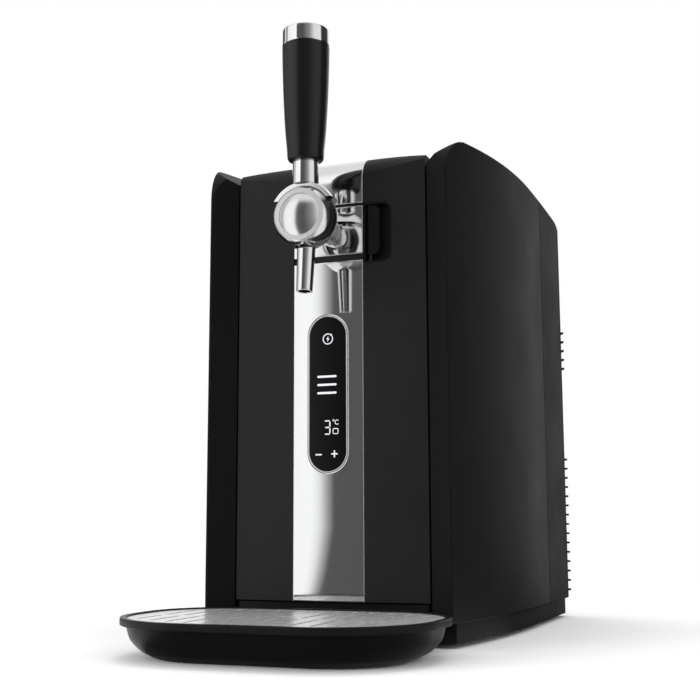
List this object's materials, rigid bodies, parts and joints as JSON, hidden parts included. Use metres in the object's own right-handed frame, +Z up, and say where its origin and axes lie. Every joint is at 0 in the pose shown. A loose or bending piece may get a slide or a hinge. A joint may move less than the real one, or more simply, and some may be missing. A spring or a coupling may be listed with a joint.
{
  "type": "mini keg beer dispenser",
  "caption": "Counter-top cooler that holds a mini keg behind a hinged front door and pours it through a ball tap with an upright handle, over a drip tray.",
  "frame": {"origin": "on the table under the middle of the whole machine, tray included", "axes": "+X to the right seen from the front, +Y towards the back, +Z up"},
  "size_m": [0.2764, 0.567, 0.526],
  "materials": {
    "black_shell": "fine satin black",
    "black_gloss": "gloss black",
    "dark_plastic": "matt black",
    "steel": "satin",
    "chrome": "polished",
    "rubber": "matt",
    "grey_plastic": "satin light grey",
    "foam": "foam",
    "aluminium": "cast",
    "ceramic_white": "white ceramic look",
    "green_board": "circuit board",
    "zinc": "plated",
    "light": "lit marks"
  },
  "bodies": {
    "cabinet": {"base_pan": "dark_plastic", "feet": "rubber", "deck": "zinc", "plinth": "dark_plastic", "left_shell": "black_shell", "right_shell": "black_shell", "top_cover": "black_shell", "back_cover": "dark_plastic", "inner_frame": "dark_plastic", "keg_chamber": "grey_plastic", "insulation": "foam", "keg_seat": "dark_plastic", "cooling_block": "aluminium", "cooler_module": "ceramic_white", "heat_sink": "aluminium", "fan_frame": "dark_plastic", "air_pump": "dark_plastic", "air_connector": "grey_plastic", "air_hose": "grey_plastic", "power_board": "green_board", "power_inlet": "dark_plastic", "hinge_brackets": "zinc", "hinge_pins": "steel", "catch_magnet": "dark_plastic", "body_screws": "steel"},
    "door": {"catch_plate": "zinc", "door_shell": "black_shell", "door_liner": "grey_plastic", "door_seal": "rubber", "strip_upper": "steel", "tap_plate": "steel", "strip_lower": "steel", "latch_cup": "dark_plastic", "latch_pin": "steel", "display_glass": "black_gloss", "display_bezel": "chrome", "display_marks": "light", "control_board": "green_board", "tap_shank": "chrome", "tap_nut": "zinc", "tap_ball": "chrome", "tap_face": "steel", "tap_pivot": "steel", "spout": "chrome"},
    "latch": {"latch_lever": "dark_plastic"},
    "handle": {"handle_stem": "steel", "handle_collar": "chrome", "handle_neck": "chrome", "handle_grip": "black_shell", "handle_cap": "chrome"},
    "plunger": {"tap_plunger": "grey_plastic"},
    "fan": {"fan_rotor": "dark_plastic"},
    "tray": {"tray_bowl": "black_shell", "tray_rim": "black_shell"},
    "grate_body": {"grate": "steel"},
    "float_body": {"level_float": "dark_plastic"}
  },
  "joints": [
    {"name": "door_hinge", "type": "hinge", "parent": "cabinet", "child": "door", "pos_m": [-0.0846, -0.0952, 0], "axis": [0, 0, -1], "range_deg": [0, 90]},
    {"name": "latch_pull", "type": "hinge", "parent": "door", "child": "latch", "pos_m": [0.0384, -0.0975, 0.354], "axis": [0, 0, -1], "range_deg": [0, 20], "stiffness_Nm_per_rad": 0.02},
    {"name": "tap_handle", "type": "hinge", "parent": "door", "child": "handle", "pos_m": [0, -0.1535, 0.3585], "axis": [1, 0, 0], "range_deg": [0, 28]},
    {"name": "valve_slide", "type": "slide", "parent": "door", "child": "plunger", "axis": [0, 1, 0], "range_m": [0, 0.0032]},
    {"name": "tray_slide", "type": "slide", "parent": "cabinet", "child": "tray", "axis": [0, -1, 0], "range_m": [0, 0.15]},
    {"name": "grate_lift", "type": "slide", "parent": "tray", "child": "grate_body", "axis": [0, 0, 1], "range_m": [0, 0.06]},
    {"name": "float_rise", "type": "slide", "parent": "tray", "child": "float_body", "axis": [0, 0, 1], "range_m": [0, 0.006]},
    {"name": "fan_spin", "type": "hinge", "parent": "cabinet", "child": "fan", "pos_m": [0, 0.1965, 0.16], "axis": [0, 1, 0], "continuous": true}
  ],
  "couplings": [
    {"joint": "valve_slide", "follows": "tap_handle", "m_per_rad": 0.0065}
  ]
}
